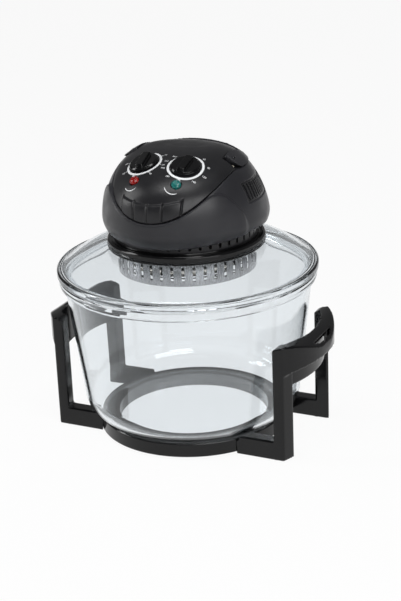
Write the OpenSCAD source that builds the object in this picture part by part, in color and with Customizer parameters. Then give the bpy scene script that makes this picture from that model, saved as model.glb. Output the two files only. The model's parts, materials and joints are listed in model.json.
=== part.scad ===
/* [Bowl] */
// Radius of the bowl rim bead
bowl_rim_r = 163.5; // [150:0.5:175]
// How far the rim bead stands out past the wall of the bowl
bead_out = 6; // [4:0.5:9]
// Outer wall radius of the bowl where the bottom corner begins
bowl_low_r = 140; // [125:1:150]
// Thickness of the bowl glass
bowl_wall = 5; // [3.5:0.5:6]
// Outer radius of the bottom corner of the bowl
bowl_corner_r = 35; // [20:1:45]
// Height of the bowl from its flat bottom to the top of its rim
bowl_h = 191; // [150:1:230]
// Height of the bowl rim bead
bowl_bead_h = 13; // [8:0.5:18]

/* [Lid] */
// How far the lid rim stands out past the bowl rim
lid_over = 2; // [0:0.5:5]
// Height of the lid rim band
lid_rim_h = 11; // [8:0.5:14]
// Thickness of the lid glass
lid_glass = 4; // [3:0.5:6]
// Rise of the lid from the bottom of its rim to its crown
lid_rise = 35.2; // [26:0.1:45]
// Gap between the guard and the edge of the hole in the lid
lid_hole_gap = 7; // [6:0.5:9]
// Thickness of the seal under the flange
gasket_h = 1; // [0.6:0.1:2]

/* [Head] */
// How far the flange reaches over the lid glass round the hole
clamp_w = 7; // [6:0.5:12]
// Height of the flange lip
flange_h = 11.3; // [9:0.1:16]
// Height of the vented neck over the flange
neck_h = 17.5; // [14:0.5:22]
// How far the widest part of the head stands out past the flange at each side
side_over = 4; // [3:0.5:10]
// How far it stands out past the flange at the front
front_over = 4.5; // [3:0.5:10]
// How far it stands out past the flange at the rear
rear_over = 14; // [8:0.5:18]
// Height of the head from the top of the flange to its crown
head_h = 111.4; // [110:0.1:116]
// Wall thickness of the head mouldings
shell_t = 3; // [2:0.25:4]
// Radius of the curved split between the housing and the control cover
split_r = 83.5; // [78:0.5:90]
// Height of that split over the flange at the very front
split_lift = 40.5; // [36:0.5:48]
// Gap along the split and round the handle
seam = 0.6; // [0.3:0.1:1.2]
// Half width of the control cover between the two arms of the handle
core_half_w = 60; // [54:0.5:64]

/* [Controls] */
// Radius of a control knob
knob_r = 18.5; // [15:0.5:21]
// Height of the round base of a knob
knob_base_h = 2.5; // [2:0.5:6]
// Height of the finger bar over the base of a knob
knob_bar_h = 4; // [3:0.5:9]
// Half of the distance between the two knobs
knob_half_gap = 28; // [25:0.5:32]
// Distance of the knobs in front of the axis
knob_front = 50; // [46:0.5:54]
// Radius of an indicator lens
lens_r = 6; // [4:0.5:7]
// Radius of the timer and thermostat shafts
control_shaft_r = 3; // [2.5:0.1:3.5]
// Turn of the timer knob in degrees
timer_turn = 300; // [240:5:330]

/* [Guard and heater] */
// Outer radius of the slotted steel guard
guard_r = 86; // [80:0.5:87]
// Thickness of the guard sheet
guard_t = 0.8; // [0.5:0.1:1.5]
// Depth of the guard below the flange
guard_drop = 32.5; // [28:0.5:40]
// Number of slots round the guard
guard_slots = 40; // [24:1:48]
// Width of a guard slot
guard_slot_w = 3.6; // [2:0.1:5]
// Distance from the guard in to the middle line of the halogen tube
tube_inset = 23; // [21:0.5:28]
// Radius of the halogen tube
tube_r = 4.5; // [3.5:0.5:6]
// Gap between the convection fan and the halogen tube
hot_fan_gap = 10.5; // [6:0.5:20]
// Number of blades of the convection fan
hot_fan_blades = 8; // [4:1:12]

/* [Motor] */
// Radius of the motor shaft
motor_shaft_r = 3; // [2.5:0.1:4]
// Radius of the motor case
motor_r = 30; // [24:0.5:34]
// Length of the motor case
motor_len = 30; // [24:1:34]
// Radius of the cooling fan
cool_fan_r = 40; // [30:1:44]

/* [Stand] */
// How far the base ring reaches out past the flat bottom of the bowl
ring_out = 16.5; // [14:0.5:24]
// How far the base ring reaches in under the flat bottom of the bowl
ring_in = 8; // [5:0.5:20]
// Height of the ring seat over the floor
seat_z = 20; // [18:0.5:26]
// Distance from the middle to the front and rear faces of the posts
frame_half_y = 77; // [72:0.5:84]
// Depth of a post from front to rear
post_depth = 18.5; // [14:0.5:24]
// Gap between the wall of the bowl and the posts
post_gap = 6.4; // [3:0.1:12]
// Width of a post seen from the front
post_w = 14; // [10:0.5:20]
// How much further out the other edge of a post stands
post_flare = 7; // [0:0.5:10]
// Height of the feet
foot_h = 24; // [18:0.5:26]
// Room for the fingers between the bowl and a handle
finger_gap = 17.2; // [14:0.1:24]
// Depth of a handle from its inner wall to its outer wall
handle_depth = 20; // [16:0.5:28]
// Height of the crown of the handles over the floor
handle_top = 150.4; // [140:0.1:165]
// Radius of the crown of the handles seen from the front
handle_crown_r = 28; // [24:0.5:32]
// Thickness of the walls of the handles
handle_wall = 4.5; // [3:0.5:6]
// Height of the inner wall of a handle
web_h = 55.4; // [45:0.1:65]
// Height of the outer wall of a handle at its middle
lip_h = 29.4; // [22:0.1:38]
// Radius of a rubber foot
pad_r = 7; // [5:0.5:8]

/* [Carry handle] */
// Depth of the pivot under the crown of the head
pivot_drop = 11.8; // [10:0.1:13]
// Distance of the pivot in front of the middle
pivot_front = 1; // [0:0.5:4]
// Radius of the pivot pins
pivot_pin_r = 2.5; // [2:0.1:3.5]
// Largest radius of the cam at the end of an arm
cam_r = 8.4; // [8:0.1:9]
// How far the cam lets the switch plunger rise
cam_drop = 1.8; // [1:0.1:2.4]
// Swing of the handle in degrees
handle_swing = 90; // [60:1:100]

/* [Hidden] */

round_fn = 96;
small_fn = 32;
eps = 0.01;
gap = 0.3;
far = 400;

// Radii, from the middle out
lid_hole_r = guard_r + lid_hole_gap;
flange_r = lid_hole_r + clamp_w;
head_half_w = flange_r + side_over;
head_front = flange_r + front_over;
head_rear = flange_r + rear_over;
tube_ring_r = guard_r - tube_inset;
hot_fan_r = tube_ring_r - tube_r - hot_fan_gap;
bowl_flat_r = bowl_low_r - bowl_corner_r;
ring_r = bowl_flat_r + ring_out;
ring_inner_r = bowl_flat_r - ring_in;
bowl_top_r = bowl_rim_r - bead_out;
lid_rim_r = bowl_rim_r + lid_over;

// Heights, from the floor up
pad_out = 1;
pad_sunk = 1.5;
ring_low = 3;
bowl_z = seat_z;
bowl_top = bowl_z + bowl_h;
bead_low = bowl_top - bowl_bead_h;
corner_z = bowl_z + bowl_corner_r;
web_low = handle_top - web_h;
lip_low = handle_top - lip_h;
lid_z = bowl_top;
lid_crown = lid_z + lid_rise;
flange_z = lid_crown + gasket_h;
flange_top = flange_z + flange_h;
neck_top = flange_top + neck_h;
floor_t = 3;
wide_z = flange_top + 26.5;
crown_z = flange_top + head_h;
front_wall_z = flange_top + 27;
split_z = flange_top + split_lift + split_r;
deck_z = crown_z - 22;
arm_low = deck_z + 2;
handle_proud = 2;
pivot_z = crown_z - pivot_drop;
pivot_y = -pivot_front;
notch_front = pivot_y - cam_r - 3;
core_rear = 50;
rear_gap = 0.6;
guard_low = flange_z - guard_drop;

// Exponents of the head curves: its sides, its rear, its front and its plan
side_p = 1.45;
side_q = 4;
rear_p = 1.5;
rear_q = 2.8;
front_p = 3.2;
front_q = 1.5;
plan_n = 1.9;
under_k = 0.0208;
head_sides = 44;
head_rows = 9;

// Head outline: the share of the full width that is left at the height share u
function taper(u, p, q) = pow(max(0, 1 - pow(max(0, min(1, u)), p)), 1 / q);
function head_u(z) = (z - wide_z) / (crown_z - wide_z);
function front_u(z) = (z - front_wall_z) / (crown_z - front_wall_z);
function under(z) = z < wide_z ? under_k * pow(wide_z - z, 2) : 0;
function head_a(z) = head_half_w * taper(head_u(z), side_p, side_q) - under(z);
function head_back(z) = head_rear * taper(head_u(z), rear_p, rear_q) - under(z);
function head_fore(z) = head_front * taper(front_u(z), front_p, front_q) - under(z);
function lobe(v, n) = sign(v) * pow(abs(v), 2 / n);
function head_ring(z, inset) = let (a = head_a(z) - inset,
    b = (head_back(z) + head_fore(z)) / 2 - inset, y0 = (head_back(z) - head_fore(z)) / 2)
    [for (k = [0:head_sides - 1]) let (t = 360 * k / head_sides)
        [a * lobe(cos(t), plan_n), y0 + b * lobe(sin(t), plan_n)]];
// Heights of the rows: two under the widest one, the rest closing in on the crown
row_low = neck_top - 14;
function row_z(i) = i < 2 ? row_low + (wide_z - row_low) * i / 2
    : wide_z + (crown_z - wide_z) * sin(83 * (i - 2) / (head_rows - 1));
row_count = head_rows + 2;

// A closed solid in the outer form of the head, drawn in and lowered by inset
module head_form(inset) {
    rows = [for (i = [0:row_count - 1]) let (z = row_z(i)) [for (p = head_ring(z, inset))
        [p[0], p[1], z - (i > 1 ? inset : 0)]]];
    last = row_count - 1;
    n = head_sides;
    top_y = (head_back(row_z(last)) - head_fore(row_z(last))) / 2;
    points = concat([for (r = rows) for (p = r) p], [[0, top_y, crown_z - inset], [0, 0, row_low]]);
    walls = [for (i = [0:last - 1]) for (k = [0:n - 1]) let (j = (k + 1) % n)
        each [[i * n + k, (i + 1) * n + k, (i + 1) * n + j], [i * n + k, (i + 1) * n + j, i * n + j]]];
    crown = [for (k = [0:n - 1]) [last * n + k, row_count * n, last * n + (k + 1) % n]];
    sole = [for (k = [0:n - 1]) [k, (k + 1) % n, row_count * n + 1]];
    polyhedron(points, concat(walls, crown, sole));
}

module tube(r_out, r_in, h) {
    difference() {
        cylinder(r = r_out, h = h, $fn = round_fn);
        translate([0, 0, -1]) cylinder(r = r_in, h = h + 2, $fn = round_fn);
    }
}

module around(count, r, start = 0) {
    for (i = [0:count - 1]) rotate([0, 0, start + 360 * i / count]) translate([r, 0, 0]) children();
}

module four_corners(x, y) {
    for (sx = [-1, 1]) for (sy = [-1, 1]) translate([sx * x, sy * y, 0]) children();
}

// A pan-head screw that points up, with its head under z = 0
module screw_up(r, len, head_r, head_h) {
    translate([0, 0, -head_h]) cylinder(r = head_r, h = head_h, $fn = small_fn);
    translate([0, 0, -eps]) cylinder(r = r, h = len, $fn = small_fn);
}

// Stand

window_y = frame_half_y - post_depth;
foot_y = frame_half_y - post_depth / 2;
foot_top = pad_out + foot_h;
// The bowl from outside: its corner up to corner_z, and its wall above that
function corner_r_at(z) = bowl_flat_r + sqrt(pow(bowl_corner_r, 2) - pow(max(0, corner_z - z), 2));
function wall_r_at(z) = bowl_low_r
    + (bowl_top_r - bowl_low_r) * (z - corner_z) / (bead_low - bead_neck - corner_z);
bead_neck = 2;
side_r = wall_r_at(handle_top);
// The raised lip of the ring, close under the corner of the bowl
lip_in = 11;
lip_w = 4;
lip_step = bowl_corner_r - sqrt(pow(bowl_corner_r, 2) - pow(lip_in, 2)) - 0.27;
ring_edge_x = sqrt(ring_r * ring_r - foot_y * foot_y);
lug_w = 13;
lug_low = ring_low + 6;
lug_h = 8;
lug_in = 20.9;
lug_out = 25;
lug_x = ring_edge_x - lug_in;
screw_x = ring_edge_x - 11.9;
frame_screw_r = 1.9;
frame_head_r = 3.6;
frame_head_h = 2.4;
post_skew = 2;
post_inner_x = sqrt(pow(side_r + post_gap, 2) - window_y * window_y) - post_skew;
post_outer_x = post_inner_x + post_w;
web_inner_mid = side_r + finger_gap;
handle_reach = web_inner_mid + handle_depth;
// Both walls of a handle are arcs from post to post
function arc_r(rise) = (frame_half_y * frame_half_y + rise * rise) / (2 * rise);
web_inner_r = arc_r(web_inner_mid - post_inner_x - 1);
web_mid_x = web_inner_mid - web_inner_r;
lip_r = arc_r(handle_reach - post_outer_x);
crown_x = handle_reach - handle_crown_r + 0.5;
arch_r = 400;
cap_t = 8;
pad_x = post_outer_x - 12;
pad_gap = 0.2;
hole_gap = 0.2;
hollow_drop = 30;

module base_ring() {
    color([0.09, 0.09, 0.1]) difference() {
        rotate_extrude($fn = round_fn) polygon([[ring_inner_r, ring_low], [ring_r, ring_low],
            [ring_r, seat_z], [bowl_flat_r + lip_in + lip_w, seat_z + lip_step],
            [bowl_flat_r + lip_in, seat_z + lip_step], [bowl_flat_r + lip_in - 2, seat_z],
            [ring_inner_r, seat_z]]);
        for (sx = [-1, 1]) for (sy = [-1, 1]) scale([sx, 1, 1]) translate([0, sy * foot_y, 0]) {
            translate([lug_x - gap, -lug_w / 2 - gap, lug_low - gap])
                cube([far, lug_w + 2 * gap, lug_h + 2 * gap]);
            translate([screw_x, 0, ring_low - 1])
                cylinder(r = frame_screw_r + hole_gap, h = lug_low, $fn = small_fn);
            translate([screw_x, 0, ring_low - 1])
                cylinder(r = frame_head_r + 2 * hole_gap, h = frame_head_h + 2 * hole_gap + 1, $fn = small_fn);
        }
    }
}

// Plan of the band between the two arcs of a handle, from post to post
module handle_plan(inner_grow, outer_shrink, half_y) {
    intersection() {
        difference() {
            translate([handle_reach - lip_r, 0]) circle(r = lip_r - outer_shrink, $fn = 160);
            translate([web_mid_x, 0]) circle(r = web_inner_r + inner_grow, $fn = 160);
        }
        translate([post_inner_x - 5, -half_y]) square([far, 2 * half_y]);
    }
}

module post_plan() {
    offset(r = 2, $fn = 24) offset(delta = -2) polygon([[post_inner_x, -frame_half_y],
        [post_outer_x, -frame_half_y], [post_outer_x + post_flare, -window_y],
        [post_inner_x + post_skew, -window_y]]);
}

// Everything under the rounded crown line of the handles
module crown_limit() {
    rotate([90, 0, 0]) linear_extrude(height = 4 * frame_half_y, center = true) union() {
        translate([crown_x, handle_top - handle_crown_r]) circle(r = handle_crown_r, $fn = 64);
        square([crown_x + handle_crown_r, handle_top - handle_crown_r]);
    }
}

module side_frame() {
    difference() {
        union() {
            intersection() {
                union() {
                    for (sy = [-1, 1]) scale([1, sy, 1]) translate([0, 0, pad_out])
                        linear_extrude(height = handle_top) post_plan();
                    difference() {
                        translate([0, 0, web_low]) linear_extrude(height = handle_top - web_low)
                            handle_plan(0, 0, frame_half_y);
                        // The lower edge of the outer wall is an arch
                        translate([0, 0, lip_low - arch_r]) rotate([0, 90, 0])
                            linear_extrude(height = far) intersection() {
                                circle(r = arch_r, $fn = 360);
                                translate([-2 * arch_r, -2 * frame_half_y])
                                    square([2 * arch_r, 4 * frame_half_y]);
                            }
                    }
                    translate([0, 0, web_low]) linear_extrude(height = handle_top - web_low)
                        intersection() {
                            difference() {
                                translate([web_mid_x, 0]) circle(r = web_inner_r + handle_wall, $fn = 160);
                                translate([web_mid_x, 0]) circle(r = web_inner_r, $fn = 160);
                            }
                            translate([post_inner_x, -frame_half_y + 1])
                                square([far, 2 * frame_half_y - 2]);
                        }
                }
                crown_limit();
            }
            for (sy = [-1, 1]) translate([lug_x, sy * foot_y - post_depth / 2, pad_out])
                cube([post_outer_x - 1 - lug_x, post_depth, foot_h]);
        }
        // Finger hollow behind the outer wall
        translate([0, 0, web_low - hollow_drop]) linear_extrude(height = web_h + hollow_drop - cap_t)
            handle_plan(handle_wall, handle_wall, window_y - 1);
        // The feet stop at the ring, and stay clear of the corner of the bowl
        translate([0, 0, -1]) cylinder(r = ring_r + pad_gap, h = foot_top + 2, $fn = round_fn);
        translate([0, 0, seat_z - 1]) cylinder(r = corner_r_at(foot_top) + 1, h = foot_top, $fn = round_fn);
        for (sy = [-1, 1]) translate([pad_x, sy * foot_y, 0])
            cylinder(r = pad_r + pad_gap, h = pad_out + pad_sunk, $fn = small_fn);
    }
    // Lugs that slide into the ring
    for (sy = [-1, 1]) translate([lug_x, sy * foot_y - lug_w / 2, lug_low]) difference() {
        cube([lug_in + lug_out, lug_w, lug_h]);
        translate([screw_x - lug_x, lug_w / 2, -1])
            cylinder(r = frame_screw_r + hole_gap / 2, h = lug_h - 1, $fn = small_fn);
    }
}

module right_side_frame() {
    color([0.08, 0.08, 0.09]) side_frame();
}

module left_side_frame() {
    color([0.08, 0.08, 0.09]) mirror([1, 0, 0]) side_frame();
}

module rubber_feet() {
    color([0.05, 0.05, 0.05]) four_corners(pad_x, foot_y)
        cylinder(r = pad_r, h = pad_out + pad_sunk, $fn = small_fn);
}

module frame_screws() {
    color([0.7, 0.7, 0.72]) four_corners(screw_x, foot_y)
        translate([0, 0, ring_low + frame_head_h + 2 * hole_gap])
        screw_up(frame_screw_r, 9, frame_head_r, frame_head_h);
}

// Bowl

inner_corner_r = bowl_corner_r - bowl_wall;

module glass_bowl() {
    corner = [for (i = [0:12]) let (t = -90 + 90 * i / 12)
        [bowl_flat_r + bowl_corner_r * cos(t), corner_z + bowl_corner_r * sin(t)]];
    inside = [for (i = [12:-1:0]) let (t = -90 + 90 * i / 12)
        [bowl_flat_r + inner_corner_r * cos(t), corner_z + inner_corner_r * sin(t)]];
    rim = [[bowl_top_r, bead_low - bead_neck], [bowl_rim_r - bead_out / 2, bead_low],
        [bowl_rim_r - 0.8, bead_low + 2.5],
        [bowl_rim_r, bead_low + 6], [bowl_rim_r, bowl_top - 2], [bowl_rim_r - 1.5, bowl_top],
        [bowl_top_r - bowl_wall + 1.5, bowl_top], [bowl_top_r - bowl_wall, bowl_top - 2]];
    color([0.8, 0.86, 0.88, 0.35]) rotate_extrude($fn = round_fn)
        polygon(concat([[0, bowl_z]], corner, rim, inside, [[0, bowl_z + bowl_wall]]));
}

// Lid

lid_step_r = bowl_top_r - bowl_wall - 1.5;
lid_step_h = 3.5;
dome_r = lid_rim_r - 6;
hole_lap = 2.5;

module glass_lid() {
    top = lid_crown;
    rim_top = lid_z + lid_rim_h;
    rows = 8;
    flat_r = flange_r + 2;
    // The dome leaves the rim steeply and flattens towards the flange
    function dome_z(s) = rim_top - 1 + (top - rim_top + 1) * sin(90 * s);
    over = [for (i = [0:rows]) let (s = i / rows) [dome_r + (flat_r - dome_r) * s, dome_z(s)]];
    below = [for (i = [rows:-1:0]) let (s = i / rows)
        [dome_r - 1 + (flat_r - dome_r + 1) * s, dome_z(s) - lid_glass]];
    color([0.8, 0.86, 0.88, 0.35]) rotate_extrude($fn = round_fn)
        polygon(concat([[lid_step_r, lid_z - lid_step_h], [lid_step_r, lid_z], [lid_rim_r - 1.5, lid_z],
            [lid_rim_r, lid_z + 2], [lid_rim_r, rim_top - 3], [lid_rim_r - 2.5, rim_top]], over,
            [[lid_hole_r, top], [lid_hole_r, top - lid_glass]], below,
            [[lid_step_r - 4, lid_z + 2], [lid_step_r - 4, lid_z - lid_step_h]]));
}

module upper_gasket() {
    color([0.3, 0.3, 0.3]) translate([0, 0, lid_crown]) tube(flange_r - 1, lid_hole_r + 0.5, gasket_h);
}

retainer_t = 1.2;
retainer_screw_ring = (guard_r + lid_hole_r) / 2;
retainer_screw_r = 1.5;

module retainer_ring() {
    color([0.75, 0.75, 0.76]) difference() {
        translate([0, 0, lid_crown - lid_glass - retainer_t])
            tube(lid_hole_r + hole_lap, guard_r + gap, retainer_t);
        around(6, retainer_screw_ring, 30) translate([0, 0, lid_crown - lid_glass - 2 * retainer_t])
            cylinder(r = retainer_screw_r + hole_gap, h = 3 * retainer_t, $fn = small_fn);
    }
}

module retainer_screws() {
    color([0.7, 0.7, 0.7]) around(6, retainer_screw_ring, 30)
        translate([0, 0, lid_crown - lid_glass - retainer_t])
        screw_up(retainer_screw_r, retainer_t + lid_glass + gasket_h + flange_bite, 2.6, 1.4);
}

neck_r = flange_r - 10;
neck_t = 3.5;
neck_slots = 44;
neck_slot_w = 3.2;
plate_r = neck_r - neck_t - 3;
plate_t = 1.5;
plate_z = flange_top - plate_t;
flange_inner_r = plate_r - 4.5;
flange_bite = 6.8;
guard_screw_r = 1.3;
guard_screw_ring = guard_r - 3.6;

module lid_flange() {
    color([0.05, 0.05, 0.05]) difference() {
        rotate_extrude($fn = round_fn) polygon([[flange_inner_r, flange_z], [flange_r - 1.5, flange_z],
            [flange_r, flange_z + 1.5], [flange_r, flange_top - 3], [flange_r - 2, flange_top - 0.8],
            [flange_r - 5.5, flange_top - 0.8], [flange_r - 6.5, flange_top - 3],
            [flange_r - 9, flange_top - 3], [flange_r - 9.5, flange_top],
            [plate_r + hole_gap, flange_top], [plate_r + hole_gap, plate_z], [flange_inner_r, plate_z]]);
        around(6, retainer_screw_ring, 30) translate([0, 0, flange_z - 1])
            cylinder(r = retainer_screw_r + hole_gap / 2, h = flange_bite + 2.2, $fn = small_fn);
        around(6, guard_screw_ring, 0) translate([0, 0, flange_z - 1])
            cylinder(r = guard_screw_r + hole_gap / 2, h = flange_bite + 1.2, $fn = small_fn);
    }
}

module neck_ring() {
    color([0.07, 0.07, 0.07]) difference() {
        translate([0, 0, flange_top]) tube(neck_r, neck_r - neck_t, neck_h);
        for (i = [0:neck_slots / 2 - 1]) rotate([0, 0, 360 * (i + 0.5) / neck_slots])
            translate([-neck_r - 5, -neck_slot_w / 2, flange_top + 3])
            cube([2 * neck_r + 10, neck_slot_w, neck_h - 6]);
    }
}

// Head mouldings

arch_cut_r = 552;
skirt_side_z = flange_top + 16;

module skirt_arch() {
    translate([0, 0, skirt_side_z - arch_cut_r]) rotate([0, 90, 0])
        cylinder(r = arch_cut_r, h = far, center = true, $fn = 720);
}

module split_cylinder(grow) {
    translate([0, 0, split_z]) rotate([90, 0, 0])
        cylinder(r = split_r + grow, h = far, center = true, $fn = 120);
}

// The space that the handle lies in, on both sides and round the rear
module handle_space(inset) {
    difference() {
        translate([-far / 2, notch_front + inset, deck_z + inset]) cube(far);
        core_box(core_half_w + inset, core_rear + inset + (inset > 0 ? rear_gap : 0), 0);
    }
}

// A box from low up that reaches from far in front of the head to rear
module core_box(half_w, rear, low) {
    translate([-half_w, -far, low]) cube([2 * half_w, far + rear, far]);
}

vent_mid_angle = 9;
vent_low = wide_z + 24.5;
vent_h = 24;
vent_w = 68;
vent_in = core_half_w;

floor_r = neck_r + 3;
motor_hole_r = 20;
boss_r = 4.5;
boss_top = crown_z - 34.9;
boss_head_z = boss_top - 4;

// The four bosses that join the housing and the control cover
module at_bosses() {
    for (sx = [-1, 1]) {
        translate([sx * (core_half_w + 2), -40, 0]) children();
        translate([sx * (core_half_w - 14), core_rear - 14, 0]) children();
    }
}

module lower_housing() {
    color([0.16, 0.16, 0.17]) difference() {
        union() {
            difference() {
                head_form(0);
                head_form(shell_t);
                skirt_arch();
                handle_space(0);
                intersection() {
                    split_cylinder(seam / 2);
                    core_box(far / 2, notch_front + 1, 0);
                }
                core_box(core_half_w + seam, core_rear + seam, deck_z - 8);
            }
            // Floor over the neck
            translate([0, 0, neck_top]) cylinder(r = floor_r, h = floor_t, $fn = round_fn);
            intersection() {
                head_form(shell_t / 2);
                translate([0, 0, neck_top]) cylinder(r = far / 2, h = floor_t, $fn = round_fn);
            }
            // Deck under the handle
            intersection() {
                head_form(shell_t / 2);
                difference() {
                    translate([-far / 2, notch_front, deck_z - floor_t]) cube([far, far, floor_t]);
                    core_box(core_half_w + seam, core_rear + seam, 0);
                }
            }
            at_bosses() translate([0, 0, neck_top])
                cylinder(r = boss_r, h = boss_top - neck_top, $fn = small_fn);
        }
        translate([0, 0, neck_top - 1]) cylinder(r = motor_hole_r, h = floor_t + 2, $fn = round_fn);
        around(4, motor_screw_ring, 45) translate([0, 0, neck_top - 1])
            cylinder(r = motor_screw_r + hole_gap, h = floor_t + 2, $fn = small_fn);
        at_bosses() translate([0, 0, neck_top - 1]) {
            cylinder(r = housing_screw_r + hole_gap, h = boss_top - neck_top + 2, $fn = small_fn);
            cylinder(r = housing_head_r + gap, h = boss_head_z - neck_top + 1, $fn = small_fn);
        }
        translate([plunger_x, pivot_y, deck_z - floor_t - 1])
            cylinder(r = plunger_r + hole_gap, h = floor_t + 2, $fn = small_fn);
        translate([0, head_rear, gland_z]) rotate([90, 0, 0])
            cylinder(r = gland_r + 0.1, h = 30, center = true, $fn = small_fn);
        for (side = [-1, 1]) vent_cut(side);
    }
}

module vent_cut(side) {
    scale([side, 1, 1]) rotate([0, 0, vent_mid_angle])
        translate([vent_in, -vent_w / 2, vent_low]) cube([far, vent_w, vent_h]);
}

housing_screw_r = 1.6;
housing_head_r = 3;

module top_cover() {
    knob_bore = control_shaft_r + 0.5;
    color([0.15, 0.15, 0.16]) difference() {
        union() {
            difference() {
                head_form(0);
                head_form(shell_t);
                handle_space(-seam);
                translate([-far / 2, notch_front, deck_z - far]) cube(far);
                difference() {
                    core_box(far / 2, notch_front + 0.001, 0);
                    split_cylinder(-seam / 2);
                }
            }
            // Walls beside the handle
            intersection() {
                head_form(shell_t / 2);
                difference() {
                    core_box(core_half_w - seam, core_rear - seam, deck_z);
                    core_box(core_half_w - seam - shell_t, core_rear - seam - shell_t, 0);
                    core_box(far / 2, notch_front - shell_t, 0);
                }
            }
            // Bosses for the screws from below
            intersection() {
                head_form(shell_t / 2);
                at_bosses() translate([0, 0, boss_top]) cylinder(r = boss_r, h = far, $fn = small_fn);
            }
            // Front wall of the handle notches
            intersection() {
                head_form(shell_t / 2);
                split_cylinder(-seam / 2);
                difference() {
                    translate([-far / 2, notch_front - seam - shell_t, deck_z - 15])
                        cube([far, shell_t, far]);
                    core_box(core_half_w - 1, far, 0);
                }
            }
        }
        at_bosses() translate([0, 0, boss_top - 1])
            cylinder(r = housing_screw_r + hole_gap / 2, h = 9, $fn = small_fn);
        for (side = [-1, 1]) {
            on_panel(side) cylinder(r = knob_bore, h = 40, center = true, $fn = small_fn);
            on_lamp(side) cylinder(r = lens_r + hole_gap / 2, h = 40, center = true, $fn = small_fn);
        }
        translate([0, pivot_y, pivot_z]) rotate([0, 90, 0])
            cylinder(r = pivot_pin_r + 0.05, h = far, center = true, $fn = small_fn);
    }
}

// Places on the control panel: the knob plane and the lamp plane
panel_tilt = 21;
panel_roll = 8;
panel_z = crown_z - 11.8;
lamp_front = knob_front + 27.5;
lamp_tilt = 38;
lamp_z = crown_z - 26.7;

module on_panel(side) {
    translate([side * knob_half_gap, -knob_front, panel_z])
        rotate([panel_tilt, side * panel_roll, 0]) children();
}

module on_lamp(side) {
    translate([side * knob_half_gap, -lamp_front, lamp_z])
        rotate([lamp_tilt, side * panel_roll, 0]) children();
}

module vent_grille(side) {
    slats = 11;
    slat_w = 2.2;
    edge = 0.1;
    half_w = vent_w / 2 - edge;
    pitch = (2 * half_w - slat_w) / slats;
    color([0.1, 0.1, 0.1]) intersection() {
        difference() {
            head_form(0.6);
            head_form(shell_t);
        }
        scale([side, 1, 1]) rotate([0, 0, vent_mid_angle]) union() {
            for (z = [vent_low + edge, vent_low + vent_h - edge - slat_w])
                translate([vent_in, -half_w, z]) cube([far, 2 * half_w, slat_w]);
            for (i = [0:slats]) translate([vent_in, pitch * i - half_w, vent_low + edge])
                cube([far, slat_w, vent_h - 2 * edge]);
        }
    }
}

module right_vent_grille() {
    vent_grille(1);
}

module left_vent_grille() {
    vent_grille(-1);
}

module housing_screws() {
    color([0.6, 0.6, 0.62]) at_bosses() translate([0, 0, boss_head_z])
        screw_up(housing_screw_r, 11, housing_head_r, 2);
}

// Carry handle

cam_lead = 1.4;
plunger_x = core_half_w + 7;
plunger_r = 2;

// Side outline of an arm end: a spiral cam that lets the plunger rise as the handle turns up
module cam_outline() {
    steps = 18;
    front = [for (i = [0:steps]) let (t = 90 * i / steps, r = cam_r - cam_drop * i / steps)
        [-r * sin(t), -r * cos(t)]];
    top = [for (i = [1:steps]) let (t = 90 + 90 * i / steps, r = cam_r - cam_drop + cam_lead * i / steps)
        [-r * sin(t), -r * cos(t)]];
    polygon(concat(front, top, [[4, 8], [4, -cam_r]]));
}

module carry_handle() {
    color([0.15, 0.15, 0.16]) difference() {
        intersection() {
            head_form(-handle_proud);
            handle_space(seam);
            union() {
                translate([-far / 2, pivot_y + 2, arm_low]) cube(far);
                translate([0, pivot_y, pivot_z]) rotate([90, 0, 90])
                    linear_extrude(height = far, center = true) cam_outline();
            }
        }
        translate([0, pivot_y, pivot_z]) rotate([0, 90, 0])
            cylinder(r = pivot_pin_r + hole_gap / 2, h = 2 * (core_half_w + 11), center = true,
                $fn = small_fn);
    }
}

module handle_pivot_pins() {
    color([0.75, 0.75, 0.76]) for (sx = [-1, 1]) scale([sx, 1, 1])
        translate([core_half_w - shell_t - 3, pivot_y, pivot_z]) rotate([0, 90, 0])
        cylinder(r = pivot_pin_r, h = shell_t + 12, $fn = small_fn);
}

plunger_top = pivot_z - cam_r - gap;
plunger_len = 16;
switch_h = 16;

module switch_plunger() {
    color([0.85, 0.85, 0.8]) translate([plunger_x, pivot_y, plunger_top - plunger_len])
        cylinder(r = plunger_r, h = plunger_len, $fn = small_fn);
}

module switch_body() {
    color([0.8, 0.78, 0.7]) difference() {
        translate([plunger_x - 7, pivot_y - 5, deck_z - floor_t - switch_h - 1])
            cube([12, 20, switch_h + 1]);
        translate([plunger_x, pivot_y, deck_z - floor_t - switch_h + 1])
            cylinder(r = plunger_r + hole_gap, h = switch_h + floor_t, $fn = small_fn);
    }
}

// Controls

timer_r = 19;
timer_len = 24;
thermostat_r = 16;
thermostat_len = 20;
control_drop = 11;
shaft_in = 12;
knob_gap = 0.8;

module control_unit(side, r, len) {
    difference() {
        on_panel(side) translate([0, 0, -control_drop - len]) cylinder(r = r, h = len, $fn = 64);
        on_panel(side) translate([0, 0, -control_drop - shaft_in])
            cylinder(r = control_shaft_r + 0.05, h = far, $fn = small_fn);
    }
}

module timer_unit() {
    color([0.75, 0.75, 0.7]) control_unit(-1, timer_r, timer_len);
}

module thermostat_unit() {
    color([0.85, 0.82, 0.7]) control_unit(1, thermostat_r, thermostat_len);
}

module control_shaft(side) {
    low = -control_drop - shaft_in + gap;
    color([0.8, 0.8, 0.82]) on_panel(side) translate([0, 0, low])
        cylinder(r = control_shaft_r, h = knob_gap + knob_base_h + 2 - low, $fn = small_fn);
}

module timer_shaft() {
    control_shaft(-1);
}

module thermostat_shaft() {
    control_shaft(1);
}

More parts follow.
